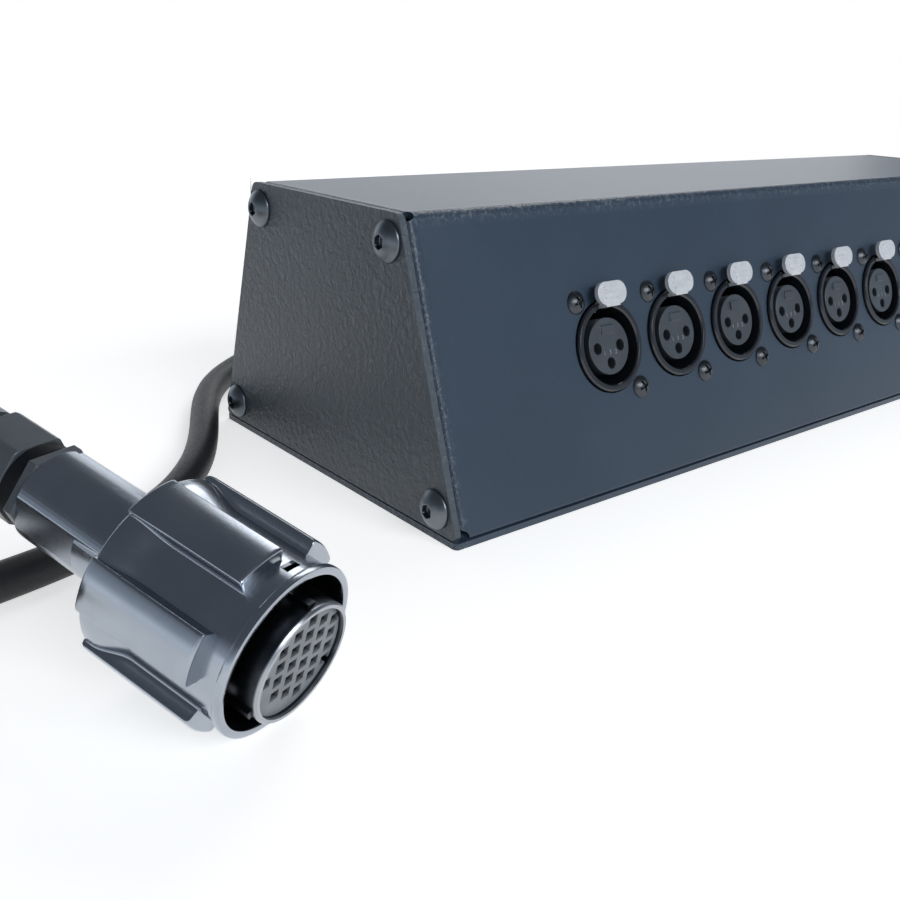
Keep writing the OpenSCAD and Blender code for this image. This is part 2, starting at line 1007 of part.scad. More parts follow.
module plug_retaining_ring() {
  color([0.5, 0.5, 0.52])
    at_plug()
      difference() {
        ring_part(clip_r, clip_front - clip_t, clip_front);
        ring_part(clip_seat_r, clip_front - clip_t - 1, clip_front + 1);
      }
}

module plug_flange() {
  color([0.5, 0.5, 0.52])
    at_plug()
      difference() {
        translate([0, 0, flange_back])
          cylinder(r = hex_r(flange_af), h = shell_back - flange_back, $fn = 6);
        ring_part(thread_r, flange_back - 1, shell_back + 1);
      }
}

module plug_seal() {
  color([0.08, 0.08, 0.09])
    at_plug()
      difference() {
        ring_part(seal_r, seal_back, flange_back);
        ring_part(thread_r, seal_back - 1, flange_back + 1);
      }
}

module plug_gland_nut() {
  color([0.3, 0.31, 0.33])
    at_plug()
      difference() {
        translate([0, 0, hexnut_back])
          intersection() {
            cylinder(r = hex_r(hexnut_af), h = seal_back - hexnut_back, $fn = 6);
            cylinder(r = hex_r(hexnut_af) - hexnut_round, h = seal_back - hexnut_back);
          }
        ring_part(thread_r, hexnut_back - 1, seal_back + 1);
      }
}

module plug_dome_nut() {
  color([0.3, 0.31, 0.33])
    at_plug()
      difference() {
        union() {
          ring_part(domenut_r, domenut_back + domenut_taper, domenut_front);
          translate([0, 0, domenut_back])
            cylinder(r1 = cord_r + domenut_wall, r2 = domenut_r, h = domenut_taper + eps);
        }
        ring_part(thread_r, thread_back, domenut_front + 1);
        ring_part(cord_hole_r, domenut_back + domenut_taper, domenut_front + 1);
        ring_part(cord_r, domenut_back - 1, domenut_front + 1);
      }
}

// Cable: one tube swept along points by functions

function unit(v) = v / norm(v);

// Smooth curve along points, through the first and the last
function blend(a, b, c, d, t) = (
  (1 - t) * (1 - t) * (1 - t) * a + (3 * t * t * t - 6 * t * t + 4) * b
  + (-3 * t * t * t + 3 * t * t + 3 * t + 1) * c + t * t * t * d
) / 6;

function smooth(p, steps) = let (n = len(p)) [
  for (i = [0 : n - 2])
    for (k = [0 : steps - 1])
      blend(
        i == 0 ? 2 * p[0] - p[1] : p[i - 1], p[i], p[i + 1],
        i == n - 2 ? 2 * p[n - 1] - p[n - 2] : p[i + 2], k / steps
      ),
  p[n - 1]
];

function tangent(p, i) = unit(
  i == 0 ? p[1] - p[0]
  : i == len(p) - 1 ? p[i] - p[i - 1]
  : unit(p[i + 1] - p[i]) + unit(p[i] - p[i - 1])
);

function ring_at(p, i, r, sides) = let (
  t = tangent(p, i),
  side = unit(cross([0, 0, 1], t)),
  up = cross(t, side)
) [
  for (k = [0 : sides - 1])
    let (a = 360 * (k + 0.5) / sides)
      p[i] + r * (cos(a) * side + sin(a) * up)
];

module tube(p, r, sides) {
  n = len(p);
  pts = [for (i = [0 : n - 1]) each ring_at(p, i, r, sides)];
  walls = [
    for (i = [0 : n - 2])
      for (k = [0 : sides - 1])
        each [
          [i * sides + k, (i + 1) * sides + (k + 1) % sides, i * sides + (k + 1) % sides],
          [i * sides + k, (i + 1) * sides + k, (i + 1) * sides + (k + 1) % sides]
        ]
  ];
  near = [for (k = [0 : sides - 1]) k];
  far = [for (k = [0 : sides - 1]) (n - 1) * sides + sides - 1 - k];
  polyhedron(points = pts, faces = concat(walls, [near, far]), convexity = 10);
}

// Coil: two layers, inwards on the upper one and outwards on the lower one
coil_low = mid_z + tie_t;
coil_mid = (coil_turns - coil_lead) / 2;
function ease(u) = u < 0 ? 0 : u > 1 ? 1 : u * u * (3 - 2 * u);
function coil_radius(t) = coil_r - coil_pitch * (coil_mid + coil_lead - abs(t - coil_mid));
function coil_xy(t) = [
  coil_at[0] + coil_radius(t) * cos(coil_start + 360 * t),
  coil_at[1] + coil_radius(t) * sin(coil_start + 360 * t)
];
function coil_z(t) = coil_low + coil_rise * (1 - ease((t - coil_mid) / coil_dive + 0.5));
function coil_point(t) = [coil_xy(t)[0], coil_xy(t)[1], coil_z(t)];
coil_steps = round(coil_turns * coil_rings);
coil_path = [for (i = [0 : coil_steps]) coil_point(i * coil_turns / coil_steps)];

// A point on the plug's axis, at a distance from the lip
function plug_point(d) = [
  plug_at[0] + d * sin(plug_turn) * cos(plug_tilt - 90),
  plug_at[1] - d * cos(plug_turn) * cos(plug_tilt - 90),
  plug_at[2] - d * sin(plug_tilt - 90)
];

// Runs: straight out of their exits, along their points, into the coil's ends
run_in = 12;
run_out = 16;
plug_path = smooth(concat(
  [plug_point(domenut_back + run_in), plug_point(domenut_back), plug_point(domenut_back - run_out)],
  plug_points,
  [coil_point(0)]
), tube_steps);
box_path = smooth(concat(
  [
    rear_point(gland_up, -jacket_in),
    rear_point(gland_up, (gland_end - jacket_in) / 2),
    rear_point(gland_up, gland_end),
    rear_point(gland_up, gland_end + run_out)
  ],
  box_points,
  [coil_point(coil_turns)]
), tube_steps);

// Measures of the cable, printed when the source is evaluated
function run_length(p, i = 0) = i >= len(p) - 1 ? 0 : norm(p[i + 1] - p[i]) + run_length(p, i + 1);
function least_gap(p, skip) = min([
  for (i = [0 : len(p) - 1 - skip])
    for (j = [i + skip : len(p) - 1])
      norm(p[i] - p[j])
]) - cord_d;
function gap_between(p, q, skip) = min([
  for (a = p)
    for (i = [skip : len(q) - 1])
      norm(a - q[i])
]) - cord_d;
echo(coil_length = run_length(coil_path), coil_least_gap = least_gap(coil_path, coil_rings / 2));
echo(plug_run_length = run_length(plug_path), box_run_length = run_length(box_path));
echo(plug_run_to_coil = gap_between(plug_path, coil_path, coil_rings / 2));
echo(plug_run_to_box_run = gap_between(plug_path, box_path, 0));

module cord_coil() {
  color([0.07, 0.07, 0.08])
    tube(coil_path, cord_r, coil_sides);
}

module cord_plug_run() {
  color([0.07, 0.07, 0.08])
    tube(plug_path, cord_r, tube_sides);
}

module cord_box_run() {
  color([0.07, 0.07, 0.08])
    tube(box_path, cord_r, tube_sides);
}

module coil_tie() {
  // Strap round the bundle of turns, with its free end folded over on top
  t0 = (tie_turn - coil_start) / 360;
  r_in = coil_radius(t0 + tie_turns_spanned) - cord_r - tie_side_gap;
  r_out = coil_radius(t0) + cord_r + tie_side_gap;
  top = coil_low + coil_rise + cord_r + tie_gap;
  color([0.12, 0.12, 0.14])
    translate([coil_at[0], coil_at[1], 0])
      rotate([0, 0, tie_turn])
        union() {
          difference() {
            translate([r_in - tie_t, -tie_w / 2, mid_z - cord_r])
              cube([r_out - r_in + 2 * tie_t, tie_w, top + tie_t - mid_z + cord_r]);
            translate([r_in, -tie_w, mid_z - cord_r + tie_t - tie_gap])
              cube([r_out - r_in, 2 * tie_w, top - mid_z + cord_r - tie_t + tie_gap]);
          }
          translate([r_in + flap_from, -tie_w / 2 + flap_in, top + tie_t - eps])
            cube([flap_len, tie_w - 2 * flap_in, tie_t]);
        }
}

body_shell();
base_plate();
end_plate_left();
end_plate_right();
end_screws_left();
end_screws_right();
end_nuts_left();
end_nuts_right();
base_screws();
base_nuts();
xlr_housing(1);  // xlr_housing_1
xlr_housing(2);  // xlr_housing_2
xlr_housing(3);  // xlr_housing_3
xlr_housing(4);  // xlr_housing_4
xlr_housing(5);  // xlr_housing_5
xlr_housing(6);  // xlr_housing_6
xlr_housing(7);  // xlr_housing_7
xlr_housing(8);  // xlr_housing_8
xlr_insert(1);  // xlr_insert_1
xlr_insert(2);  // xlr_insert_2
xlr_insert(3);  // xlr_insert_3
xlr_insert(4);  // xlr_insert_4
xlr_insert(5);  // xlr_insert_5
xlr_insert(6);  // xlr_insert_6
xlr_insert(7);  // xlr_insert_7
xlr_insert(8);  // xlr_insert_8
xlr_latch(1);  // xlr_latch_1
xlr_latch(2);  // xlr_latch_2
xlr_latch(3);  // xlr_latch_3
xlr_latch(4);  // xlr_latch_4
xlr_latch(5);  // xlr_latch_5
xlr_latch(6);  // xlr_latch_6
xlr_latch(7);  // xlr_latch_7
xlr_latch(8);  // xlr_latch_8
xlr_contacts();
xlr_screws();
xlr_screw_nuts();
wiring_loom();
gland_body();
gland_locknut();
gland_seal();
gland_nut();
cord_box_run();
cord_coil();
cord_plug_run();
coil_tie();
plug_barrel();
plug_insert();
plug_contacts();
plug_coupling_ring();
plug_retaining_ring();
plug_backshell();
plug_flange();
plug_seal();
plug_gland_nut();
plug_dome_nut();
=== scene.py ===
import math

import bmesh
import bpy
from mathutils import Matrix, Vector


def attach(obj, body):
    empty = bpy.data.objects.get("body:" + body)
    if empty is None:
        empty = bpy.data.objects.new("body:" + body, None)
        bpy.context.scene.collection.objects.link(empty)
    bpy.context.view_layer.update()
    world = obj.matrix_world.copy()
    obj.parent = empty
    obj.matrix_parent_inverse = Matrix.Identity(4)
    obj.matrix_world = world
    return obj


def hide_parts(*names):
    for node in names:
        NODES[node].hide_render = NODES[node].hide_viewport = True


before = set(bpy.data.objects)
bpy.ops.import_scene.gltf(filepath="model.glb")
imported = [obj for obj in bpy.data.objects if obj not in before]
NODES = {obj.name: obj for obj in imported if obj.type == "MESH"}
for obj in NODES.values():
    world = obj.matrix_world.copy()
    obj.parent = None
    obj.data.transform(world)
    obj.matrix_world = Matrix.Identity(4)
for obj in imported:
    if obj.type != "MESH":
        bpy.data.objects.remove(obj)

MM = 0.001
SCENE = bpy.context.scene


def write_box():
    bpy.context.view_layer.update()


write_box()

# Shared measures, as in the part's source, in metres
HALF_D = 0.0534
BASE_T = 0.0016
BOX_H = 0.0708
SHELL_L = 0.3024
SHEET = 0.0016
FRONT_TILT = 19
REAR_TILT = 16
FRONT_LEAN = math.radians(FRONT_TILT)
REAR_LEAN = math.radians(REAR_TILT)
XLR_FIRST = -0.0945
XLR_PITCH = 0.027
XLR_X = [XLR_FIRST + XLR_PITCH * i for i in range(8)]
XLR_UP = 0.0364
GLAND_UP = 0.026
FRONT = (
    Matrix.Translation((0, -HALF_D, BASE_T))
    @ Matrix.Rotation(math.radians(90 - FRONT_TILT), 4, "X")
)
REAR = (
    Matrix.Translation((0, HALF_D, BASE_T))
    @ Matrix.Rotation(math.radians(REAR_TILT - 90), 4, "X")
)
PLUG = (
    Matrix.Translation((-0.2159, -0.0875, 0.01536))
    @ Matrix.Rotation(math.radians(19.64), 4, "Z")
    @ Matrix.Rotation(math.radians(104.5), 4, "X")
)
LOBE_FIRST = 104.25
BEND_R = 0.0024
END_BEND = 0.0018
FLANGE_W = 0.012
CORD_D = 0.008
CORD_R = CORD_D / 2


# Camera

LENS = 39.651
SENSOR = 36
EYE = (-0.28227, -0.20253, 0.10070)
EYE_TURNS = ((-40.269, "Z"), (68.803, "X"), (2.349, "Z"))


def make_camera():
    data = bpy.data.cameras.new("camera")
    data.lens = LENS
    data.sensor_width = SENSOR
    data.clip_start = 0.01
    data.clip_end = 20
    camera = bpy.data.objects.new("camera", data)
    place = Matrix.Translation(EYE)
    for turn, axis in EYE_TURNS:
        place = place @ Matrix.Rotation(math.radians(turn), 4, axis)
    camera.matrix_world = place
    SCENE.collection.objects.link(camera)
    SCENE.camera = camera


make_camera()


# Building helpers

def add_object(name, mesh):
    obj = bpy.data.objects.new(name, mesh)
    SCENE.collection.objects.link(obj)
    return obj


def mesh_from(name, points, faces, smooth=True):
    mesh = bpy.data.meshes.new(name)
    mesh.from_pydata([tuple(p) for p in points], [], faces)
    mesh.validate()
    mesh.update()
    for poly in mesh.polygons:
        poly.use_smooth = smooth
    return mesh


def outward(mesh):
    work = bmesh.new()
    work.from_mesh(mesh)
    bmesh.ops.recalc_face_normals(work, faces=work.faces)
    work.to_mesh(mesh)
    work.free()


def sharpen(mesh, degrees=30):
    for poly in mesh.polygons:
        poly.use_smooth = True
    mesh.set_sharp_from_angle(angle=math.radians(degrees))


def bevelled(obj, width, segments=2, degrees=30):
    mod = obj.modifiers.new("edge", "BEVEL")
    mod.width = width
    mod.segments = segments
    mod.limit_method = "ANGLE"
    mod.angle_limit = math.radians(degrees)
    mod.use_clamp_overlap = True
    return obj


def shaded(obj):
    """Keeps flat faces evenly lit beside small curved ones."""
    mod = obj.modifiers.new("shading", "WEIGHTED_NORMAL")
    mod.keep_sharp = True
    mod.weight = 80
    return obj


def clean_copy(node):
    """A copy of a node's mesh with its flat faces merged."""
    mesh = NODES[node].data.copy()
    work = bmesh.new()
    work.from_mesh(mesh)
    bmesh.ops.remove_doubles(work, verts=work.verts, dist=2e-7)
    bmesh.ops.dissolve_limit(
        work, angle_limit=math.radians(0.4), verts=work.verts, edges=work.edges
    )
    bmesh.ops.recalc_face_normals(work, faces=work.faces)
    work.to_mesh(mesh)
    work.free()
    mesh.materials.clear()
    sharpen(mesh)
    return mesh


def finish_piece(obj, body, material, nodes=()):
    if not obj.data.materials:
        obj.data.materials.append(material)
    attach(obj, body)
    if nodes:
        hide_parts(*nodes)
    return obj


def refined(node, body, material, width=0.0002, segments=2, extra=None):
    """Stands for a node with rounded edges, and with extra meshes joined to it."""
    mesh = clean_copy(node)
    if extra:
        work = bmesh.new()
        work.from_mesh(mesh)
        for other in extra:
            work.from_mesh(other)
        work.to_mesh(mesh)
        work.free()
    obj = add_object(node + "_looks", mesh)
    if width:
        bevelled(obj, width, segments)
    shaded(obj)
    return finish_piece(obj, body, material, [node])


def prism(name, outline, low, high, place):
    """A flat outline raised from one height to another."""
    n = len(outline)
    points = [place @ Vector((x, y, low)) for x, y in outline]
    points += [place @ Vector((x, y, high)) for x, y in outline]
    faces = [tuple(range(n - 1, -1, -1)), tuple(range(n, 2 * n))]
    faces += [(i, (i + 1) % n, n + (i + 1) % n, n + i) for i in range(n)]
    return mesh_from(name, points, faces, smooth=False)


def joined(name, meshes):
    work = bmesh.new()
    for mesh in meshes:
        work.from_mesh(mesh)
    mesh = bpy.data.meshes.new(name)
    work.to_mesh(mesh)
    work.free()
    return mesh


def carved(mesh, cutter):
    """The mesh with another closed mesh cut out of it."""
    target = add_object("carve_target", mesh)
    tool = add_object("carve_tool", cutter)
    mod = target.modifiers.new("cut", "BOOLEAN")
    mod.operation = "DIFFERENCE"
    mod.solver = "EXACT"
    mod.use_self = True
    mod.object = tool
    graph = bpy.context.evaluated_depsgraph_get()
    result = bpy.data.meshes.new_from_object(target.evaluated_get(graph))
    bpy.data.objects.remove(target)
    bpy.data.objects.remove(tool)
    return result


def arc(cx, cy, r, start, end, steps):
    """Points of an arc, angles in degrees."""
    return [
        (
            cx + r * math.cos(math.radians(start + (end - start) * i / steps)),
            cy + r * math.sin(math.radians(start + (end - start) * i / steps)),
        )
        for i in range(steps + 1)
    ]


# Cable: the same route as in the part's source, in metres

MID_Z = 0.00405
BOX_POINTS = [
    (-0.004, 0.101, 0.0395),
    (-0.016, 0.1155, 0.0385),
    (-0.035, 0.1215, 0.033),
    (-0.056, 0.1195, 0.025),
    (-0.075, 0.113, 0.0165),
    (-0.094, 0.105, 0.0095),
    (-0.112, 0.0975, 0.0055),
    (-0.130, 0.0885, MID_Z),
    (-0.1455, 0.076, MID_Z),
    (-0.157, 0.060, MID_Z),
    (-0.166, 0.042, MID_Z),
    (-0.1755, 0.024, MID_Z),
    (-0.1875, 0.0075, MID_Z),
    (-0.2025, -0.006, MID_Z),
    (-0.221, -0.0145, MID_Z),
    (-0.242, -0.019, MID_Z),
    (-0.265, -0.0225, MID_Z),
    (-0.292, -0.026, MID_Z + 0.0003),
]
PLUG_POINTS = [
    (-0.254, 0.0195, 0.0435),
    (-0.2585, 0.032, 0.042),
    (-0.2625, 0.044, 0.0365),
    (-0.267, 0.056, 0.0285),
    (-0.2725, 0.0665, 0.021),
    (-0.279, 0.076, 0.0155),
]
COIL_AT = (-0.3287, 0.035)
COIL_R = 0.065
COIL_PITCH = 0.0085
COIL_RISE = 0.0086
COIL_START = 50
COIL_TURNS = 7.631
COIL_LEAD = 0.084
COIL_LOW = MID_Z + 0.0008
COIL_MID = (COIL_TURNS - COIL_LEAD) / 2


def rear_point(v, z):
    return REAR @ Vector((0, -v, z))


def plug_point(d):
    return PLUG @ Vector((0, 0, d))


def ease(u):
    u = min(max(u, 0), 1)
    return u * u * (3 - 2 * u)


def coil_radius(t):
    return COIL_R - COIL_PITCH * (COIL_MID + COIL_LEAD - abs(t - COIL_MID))


def coil_point(t):
    a = math.radians(COIL_START + 360 * t)
    r = coil_radius(t)
    z = COIL_LOW + COIL_RISE * (1 - ease((t - COIL_MID + 0.25) / 0.5))
    return Vector((COIL_AT[0] + r * math.cos(a), COIL_AT[1] + r * math.sin(a), z))


def smooth_path(points, steps):
    """A uniform cubic curve along the points, through the first and the last."""
    p = [Vector(q) for q in points]
    p = [2 * p[0] - p[1]] + p + [2 * p[-1] - p[-2]]
    path = []
    for i in range(len(p) - 3):
        for k in range(steps):
            t = k / steps
            weights = (
                (1 - t) ** 3,
                3 * t**3 - 6 * t**2 + 4,
                -3 * t**3 + 3 * t**2 + 3 * t + 1,
                t**3,
            )
            path.append(sum((w * q for w, q in zip(weights, p[i : i + 4])), Vector()) / 6)
    path.append(p[-2])
    return path


def cable_path():
    """From inside the rear gland, round the coil, to inside the plug's rear nut."""
    box_run = smooth_path(
        [rear_point(GLAND_UP, z) for z in (-0.016, 0.003, 0.022, 0.038)]
        + BOX_POINTS
        + [coil_point(COIL_TURNS)],
        6,
    )
    coil = [coil_point(COIL_TURNS * i / 440) for i in range(441)]
    plug_run = smooth_path(
        [plug_point(d) for d in (-0.074, -0.086, -0.102)] + PLUG_POINTS + [coil_point(0)],
        6,
    )
    start = rear_point(GLAND_UP, 0.008)
    out = REAR.col[2].to_3d()
    box_run = [p for p in box_run if (p - start).dot(out) > 0.002 or p.x < -0.003]
    box_run = [start] + box_run
    return box_run[:-1] + coil[::-1][:-1] + plug_run[::-1]


def tube_mesh(name, path, radius, sides=20):
    """A tube along a path, with its length along the path kept as an attribute."""
    n = len(path)
    points = []
    along = []
    run = 0.0
    for i, p in enumerate(path):
        t = (path[min(i + 1, n - 1)] - path[max(i - 1, 0)]).normalized()
        side = Vector((0, 0, 1)).cross(t).normalized()
        up = t.cross(side)
        if i:
            run += (p - path[i - 1]).length
        for k in range(sides):
            a = 2 * math.pi * k / sides
            points.append(p + radius * (math.cos(a) * side + math.sin(a) * up))
            along.append(run)
    faces = []
    for i in range(n - 1):
        for k in range(sides):
            m = (k + 1) % sides
            low, high = i * sides, (i + 1) * sides
            faces.append((low + k, high + k, high + m, low + m))
    faces.append(tuple(range(sides)))
    faces.append(tuple(range(n * sides - 1, (n - 1) * sides - 1, -1)))
    mesh = mesh_from(name, points, faces)
    outward(mesh)
    layer = mesh.attributes.new("along", "FLOAT", "POINT")
    layer.data.foreach_set("value", along)
    return mesh


# Materials

class Maker:
    """Adds nodes to one material, in object coordinates, metres."""

    def __init__(
        self, name, colour, rough,
        metal=0.0, specular=0.5, coat=0.0, coat_rough=0.1, sheen=0.0,
    ):
        self.material = bpy.data.materials.new(name)
        self.material.use_nodes = True
        self.tree = self.material.node_tree
        self.shader = self.tree.nodes["Principled BSDF"]
        self.shader.inputs["Base Color"].default_value = (*colour, 1)
        self.shader.inputs["Roughness"].default_value = rough
        self.shader.inputs["Metallic"].default_value = metal
        self.shader.inputs["Specular IOR Level"].default_value = specular
        self.shader.inputs["Coat Weight"].default_value = coat
        self.shader.inputs["Coat Roughness"].default_value = coat_rough
        self.shader.inputs["Sheen Weight"].default_value = sheen
        self.coords = self.add("ShaderNodeTexCoord").outputs["Object"]
        self.normal = None

    def add(self, kind, **values):
        node = self.tree.nodes.new(kind)
        for key, value in values.items():
            setattr(node, key, value)
        return node

    def link(self, a, b):
        self.tree.links.new(a, b)

    def stretch(self, scale):
        node = self.add("ShaderNodeMapping")
        node.inputs["Scale"].default_value = scale
        self.link(self.coords, node.inputs["Vector"])
        return node.outputs["Vector"]

    def noise(self, scale, detail=2.0, rough=0.5, distortion=0.0, vector=None):
        node = self.add("ShaderNodeTexNoise")
        node.inputs["Scale"].default_value = scale
        node.inputs["Detail"].default_value = detail
        node.inputs["Roughness"].default_value = rough
        node.inputs["Distortion"].default_value = distortion
        self.link(vector or self.coords, node.inputs["Vector"])
        return node.outputs["Fac"]

    def cells(self, scale, feature="F1", randomness=1.0, vector=None):
        node = self.add("ShaderNodeTexVoronoi", feature=feature)
        node.inputs["Scale"].default_value = scale
        node.inputs["Randomness"].default_value = randomness
        self.link(vector or self.coords, node.inputs["Vector"])
        return node.outputs["Distance"]

    def spread(self, value, low, high, to_low=0.0, to_high=1.0):
        node = self.add("ShaderNodeMapRange")
        node.inputs["From Min"].default_value = low
        node.inputs["From Max"].default_value = high
        node.inputs["To Min"].default_value = to_low
        node.inputs["To Max"].default_value = to_high
        self.link(value, node.inputs["Value"])
        return node.outputs["Result"]

    def math(self, operation, a, b):
        node = self.add("ShaderNodeMath", operation=operation)
        for slot, value in zip(node.inputs, (a, b)):
            if isinstance(value, (int, float)):
                slot.default_value = value
            else:
                self.link(value, slot)
        return node.outputs["Value"]

    def mix(self, factor, a, b):
        node = self.add("ShaderNodeMix", data_type="RGBA")
        self.link(factor, node.inputs["Factor"])
        for name, value in (("A", a), ("B", b)):
            slot = [s for s in node.inputs if s.name == name and s.type == "RGBA"][0]
            if isinstance(value, tuple):
                slot.default_value = (*value, 1)
            else:
                self.link(value, slot)
        return [s for s in node.outputs if s.type == "RGBA"][0]

    def colour(self, source):
        self.link(source, self.shader.inputs["Base Color"])

    def roughness(self, source):
        self.link(source, self.shader.inputs["Roughness"])

    def bump(self, height, strength, distance):
        node = self.add("ShaderNodeBump")
        node.inputs["Strength"].default_value = strength
        node.inputs["Distance"].default_value = distance
        self.link(height, node.inputs["Height"])
        if self.normal:
            self.link(self.normal, node.inputs["Normal"])
        self.normal = node.outputs["Normal"]
        self.link(self.normal, self.shader.inputs["Normal"])

def powder_coat(name, dark, light, grain, height, rough):
    """Textured powder coat: a soft leathery skin with fine grain, and painted highlight glints
    on the tops of the peel.
    """
    m = Maker(name, dark, rough, specular=0.5)
    peel = m.noise(1 / grain, 2.5, 0.55, 0.6)
    fine = m.noise(3.4 / grain, 2.0, 0.5)
    broad = m.noise(22, 3.0, 0.5)
    tone = m.mix(m.spread(broad, 0.35, 0.65), dark, light)
    # Painted highlight: the tops of the peel are mixed towards a paler tone, as glints.
    peel_glint = tuple(min(1, c * 1.7 + 0.02) for c in light)
    tone = m.mix(m.spread(peel, 0.58, 0.75, 0, 0.35), tone, peel_glint)
    m.colour(tone)
    m.roughness(m.spread(fine, 0.3, 0.7, rough - 0.07, rough + 0.09))
    m.bump(peel, 0.75, height)
    m.bump(fine, 0.35, height * 0.4)
    return m.material


def shell_coat():
    """The shell's finer coat, with a coarser peel and painted highlight glints along the bends.
    """
    m = Maker("shell_powder", (0.036, 0.060, 0.092), 0.34, specular=0.5)
    place = m.add("ShaderNodeSeparateXYZ")
    m.link(m.coords, place.inputs[0])
    across = m.math("ABSOLUTE", place.outputs["X"], 0)
    ends = m.spread(across, SHELL_L / 2 - 0.003, SHELL_L / 2 - 0.001)
    fold = -HALF_D + (BOX_H - BASE_T) * math.tan(FRONT_LEAN)
    high = m.spread(place.outputs["Z"], BOX_H - 0.0034, BOX_H - 0.0012)
    near = m.spread(place.outputs["Y"], fold + 0.0012, fold + 0.0026, 1, 0)
    bends = m.math("MAXIMUM", ends, m.math("MULTIPLY", high, near))
    peel = m.noise(900, 2.5, 0.55, 0.6)
    fine = m.noise(3800, 2.0, 0.5)
    broad = m.noise(22, 3.0, 0.5)
    tone = m.mix(m.spread(broad, 0.35, 0.65), (0.036, 0.060, 0.092), (0.043, 0.070, 0.106))
    # Painted highlight: pale glints on the peel, only along the end bends and the top front
    # bend.
    bend_glints = m.math("MULTIPLY", m.spread(peel, 0.52, 0.66, 0, 0.6), bends)
    m.colour(m.mix(bend_glints, tone, (0.17, 0.20, 0.24)))
    m.roughness(m.spread(fine, 0.3, 0.7, 0.27, 0.43))
    m.bump(m.math("MULTIPLY", peel, bends), 0.7, 0.0004)
    m.bump(peel, 0.5, 0.00005)
    m.bump(fine, 0.35, 0.00003)
    return m.material


def satin_metal(name, dark, light, rough, along=None):
    """Anodised or plated metal with fine tool marks."""
    m = Maker(name, dark, rough, metal=1.0)
    marks = m.noise(2600, 2.0, 0.6, vector=m.stretch(along) if along else None)
    broad = m.noise(90, 3.0, 0.55)
    tone = m.mix(m.spread(broad, 0.35, 0.7), dark, light)
    m.colour(tone)
    m.roughness(m.spread(marks, 0.3, 0.7, rough - 0.02, rough + 0.04))
    m.bump(marks, 0.08, 0.00001)
    return m.material


def gloss_black(name, dark, light, rough):
    """Black lacquer over a die casting, with faint flow marks."""
    m = Maker(name, dark, rough, specular=0.7)
    flow = m.noise(700, 2.0, 0.5)
    broad = m.noise(110, 3.0, 0.55)
    m.colour(m.mix(m.spread(broad, 0.35, 0.7), dark, light))
    m.roughness(m.spread(flow, 0.3, 0.7, rough - 0.03, rough + 0.05))
    m.bump(flow, 0.1, 0.00002)
    return m.material


def moulded(name, dark, light, rough, specular=0.5, grain=0.0004, height=0.00002):
    """Moulded plastic with a fine spark texture and slight dust."""
    m = Maker(name, dark, rough, specular=specular)
    fine = m.noise(1 / grain, 2.0, 0.6)
    broad = m.noise(120, 3.0, 0.6)
    m.colour(m.mix(m.spread(broad, 0.42, 0.75), dark, light))
    m.roughness(m.spread(fine, 0.3, 0.7, rough - 0.06, rough + 0.08))
    m.bump(fine, 0.4, height)
    return m.material


def cable_jacket():
    """Extruded rubber: fine grain, a little bloom and dust."""
    m = Maker("cable_jacket", (0.012, 0.012, 0.014), 0.5, specular=0.45)
    fine = m.noise(1800, 2.0, 0.6)
    broad = m.noise(60, 4.0, 0.6)
    dust = m.noise(700, 3.0, 0.7)
    tone = m.mix(m.spread(broad, 0.35, 0.75), (0.010, 0.010, 0.012), (0.026, 0.027, 0.030))
    tone = m.mix(m.spread(dust, 0.64, 0.8, 0, 0.5), tone, (0.07, 0.072, 0.075))
    m.colour(tone)
    m.roughness(m.spread(fine, 0.3, 0.7, 0.4, 0.6))
    m.bump(fine, 0.35, 0.00003)
    return m.material


def tie_tape():
    """Hook and loop tape: a short fuzzy pile over a woven ground."""
    m = Maker("tie_tape", (0.02, 0.02, 0.024), 0.9, specular=0.2, sheen=0.35)
    pile = m.cells(1500)
    fuzz = m.noise(2600, 3.0, 0.7)
    m.colour(m.mix(m.spread(pile, 0.1, 0.6), (0.045, 0.046, 0.052), (0.012, 0.012, 0.014)))
    m.bump(pile, 0.6, 0.0003)
    m.bump(fuzz, 0.5, 0.0001)
    return m.material


def brushed_tab():
    """Bright nickel tab, brushed across, with its tone varying at random."""
    m = Maker("bright_tab", (0.86, 0.87, 0.88), 0.3, metal=0.35)
    strokes = m.noise(1400, 3.0, 0.6, vector=m.stretch((0.35, 3.0, 3.0)))
    broad = m.noise(420, 2.0, 0.5)
    m.colour(m.mix(m.spread(broad, 0.3, 0.75), (0.95, 0.96, 0.97), (0.82, 0.83, 0.85)))
    m.roughness(m.spread(strokes, 0.3, 0.7, 0.26, 0.36))
    m.bump(strokes, 0.12, 0.00001)
    return m.material


def plug_depth(m, low, high):
    """From 0 to 1 between two stations on the plug's axis."""
    axis = PLUG.col[2].to_3d()
    along = m.add("ShaderNodeVectorMath", operation="DOT_PRODUCT")
    along.inputs[1].default_value = axis
    m.link(m.coords, along.inputs[0])
    level = PLUG.translation.dot(axis)
    return m.spread(along.outputs["Value"], level + low, level + high)


def plug_insert_plastic():
    """A pale face over holes darkened by painted shade."""
    m = Maker("plug_insert_moulding", (0.2, 0.21, 0.225), 0.45)
    broad = m.noise(160, 3.0, 0.6)
    face = m.mix(m.spread(broad, 0.35, 0.7), (0.23, 0.245, 0.262), (0.31, 0.325, 0.345))
    # Painted shade: everything deeper than the face turns near black.
    m.colour(m.mix(plug_depth(m, 0.0013, 0.0021), (0.006, 0.007, 0.009), face))
    m.bump(m.noise(2200, 2.0, 0.6), 0.3, 0.00002)
    return m.material


